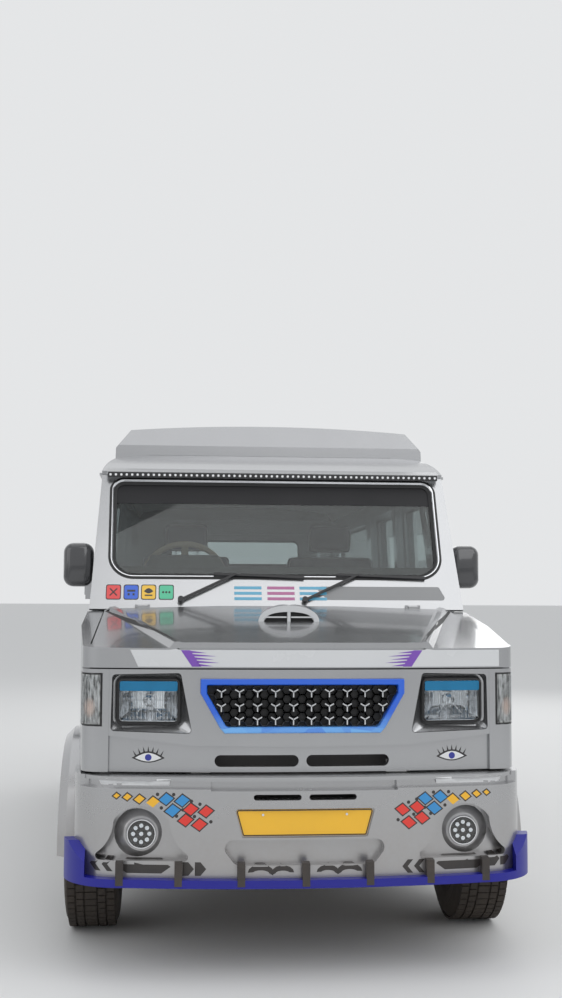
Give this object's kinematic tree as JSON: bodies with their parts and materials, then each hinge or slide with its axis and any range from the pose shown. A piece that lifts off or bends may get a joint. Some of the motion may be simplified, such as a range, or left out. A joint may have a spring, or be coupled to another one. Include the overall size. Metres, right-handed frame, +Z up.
{
  "type": "passenger van",
  "caption": "Long boxy passenger van on a ladder frame: hollow cabin with seats, opening doors, bonnet and tail door, steered front wheels and wheels that roll.",
  "frame": {"origin": "on the ground, in the middle of the van's plan", "axes": "+Y rearwards along the van, +X towards its left side, +Z up"},
  "size_m": [1.964, 5.16, 2.21],
  "materials": {
    "body_paint": "silver metallic with road dust",
    "chassis_paint": "black chassis paint, dusty",
    "cast_metal": "cast and greasy",
    "exhaust_steel": "dull heat-stained steel",
    "black_plastic": "textured",
    "blue_trim": "gloss",
    "beige_plastic": "grained",
    "dash_plastic": "grained",
    "floor_mat": "matt mat",
    "seat_fabric": "woven",
    "window_glass": "lightly tinted",
    "lamp_glass": "clear lens",
    "lamp_red": "lens",
    "tyre_rubber": "worn tread",
    "wheel_steel": "silver pressed steel"
  },
  "bodies": {
    "root": {"chassis_frame": "chassis_paint", "floor": "floor_mat", "body_sides": "body_paint", "roof": "body_paint", "windscreen_frame": "body_paint", "rear_frame": "body_paint", "front_wings": "body_paint", "nose_panel": "body_paint", "grille": "blue_trim", "front_lamps": "lamp_glass", "front_bumper": "body_paint", "bumper_lip": "blue_trim", "fixed_glass": "window_glass", "wipers": "black_plastic", "roof_deflector": "body_paint", "dashboard": "dash_plastic", "front_seats": "seat_fabric", "rear_seats": "seat_fabric", "powertrain": "cast_metal", "front_suspension": "chassis_paint", "rear_axle": "chassis_paint", "exhaust": "exhaust_steel", "fuel_tank": "black_plastic", "spare_wheel": "tyre_rubber", "rear_bumper": "black_plastic", "tail_lamps": "lamp_red"},
    "bonnet": {"bonnet": "body_paint"},
    "front_door_left": {"front_door_left": "body_paint", "front_glass_left": "window_glass"},
    "front_door_right": {"front_door_right": "body_paint", "front_glass_right": "window_glass"},
    "rear_door_left": {"rear_door_left": "body_paint", "rear_glass_left": "window_glass"},
    "rear_door_right": {"rear_door_right": "body_paint", "rear_glass_right": "window_glass"},
    "tail_door": {"tail_door": "body_paint", "tail_glass": "window_glass"},
    "steering_wheel": {"steering_wheel": "beige_plastic"},
    "knuckle_left": {"knuckle_left": "cast_metal"},
    "knuckle_right": {"knuckle_right": "cast_metal"},
    "wheel_front_left": {"tyre_front_left": "tyre_rubber", "rim_front_left": "wheel_steel"},
    "wheel_front_right": {"tyre_front_right": "tyre_rubber", "rim_front_right": "wheel_steel"},
    "wheel_rear_left": {"tyre_rear_left": "tyre_rubber", "rim_rear_left": "wheel_steel"},
    "wheel_rear_right": {"tyre_rear_right": "tyre_rubber", "rim_rear_right": "wheel_steel"}
  },
  "joints": [
    {"name": "bonnet_hinge", "type": "hinge", "parent": "root", "child": "bonnet", "pos_m": [0, -1.412, 1.311], "axis": [-1, 0, 0], "range_deg": [0, 52]},
    {"name": "front_door_left_hinge", "type": "hinge", "parent": "root", "child": "front_door_left", "pos_m": [0.859, -1.207, 0.785], "axis": [0, 0, -1], "range_deg": [0, 65]},
    {"name": "front_door_right_hinge", "type": "hinge", "parent": "root", "child": "front_door_right", "pos_m": [-0.859, -1.207, 0.785], "axis": [0, 0, 1], "range_deg": [0, 65]},
    {"name": "rear_door_left_hinge", "type": "hinge", "parent": "root", "child": "rear_door_left", "pos_m": [0.859, -0.268, 0.785], "axis": [0, 0, -1], "range_deg": [0, 62]},
    {"name": "rear_door_right_hinge", "type": "hinge", "parent": "root", "child": "rear_door_right", "pos_m": [-0.859, -0.268, 0.785], "axis": [0, 0, 1], "range_deg": [0, 62]},
    {"name": "tail_door_hinge", "type": "hinge", "parent": "root", "child": "tail_door", "pos_m": [-0.615, 2.508, 1.23], "axis": [0, 0, 1], "range_deg": [0, 95]},
    {"name": "steer_left", "type": "hinge", "parent": "root", "child": "knuckle_left", "pos_m": [0.68, -1.672, 0.3515], "axis": [0, 0, 1], "range_deg": [-30, 30]},
    {"name": "steer_right", "type": "hinge", "parent": "root", "child": "knuckle_right", "pos_m": [-0.68, -1.672, 0.3515], "axis": [0, 0, 1], "range_deg": [-30, 30]},
    {"name": "steering_turn", "type": "hinge", "parent": "root", "child": "steering_wheel", "pos_m": [-0.42, -0.942, 1.44], "axis": [0, 0.848, 0.5299], "range_deg": [-480, 480]},
    {"name": "wheel_spin_front_left", "type": "hinge", "parent": "knuckle_left", "child": "wheel_front_left", "pos_m": [0.785, -1.672, 0.3515], "axis": [1, 0, 0], "continuous": true},
    {"name": "wheel_spin_front_right", "type": "hinge", "parent": "knuckle_right", "child": "wheel_front_right", "pos_m": [-0.785, -1.672, 0.3515], "axis": [1, 0, 0], "continuous": true},
    {"name": "wheel_spin_rear_left", "type": "hinge", "parent": "root", "child": "wheel_rear_left", "pos_m": [0.785, 1.378, 0.3515], "axis": [1, 0, 0], "continuous": true},
    {"name": "wheel_spin_rear_right", "type": "hinge", "parent": "root", "child": "wheel_rear_right", "pos_m": [-0.785, 1.378, 0.3515], "axis": [1, 0, 0], "continuous": true}
  ],
  "couplings": [
    {"joint": "steer_right", "follows": "steer_left", "ratio": 1},
    {"joint": "steering_turn", "follows": "steer_left", "ratio": 16}
  ]
}
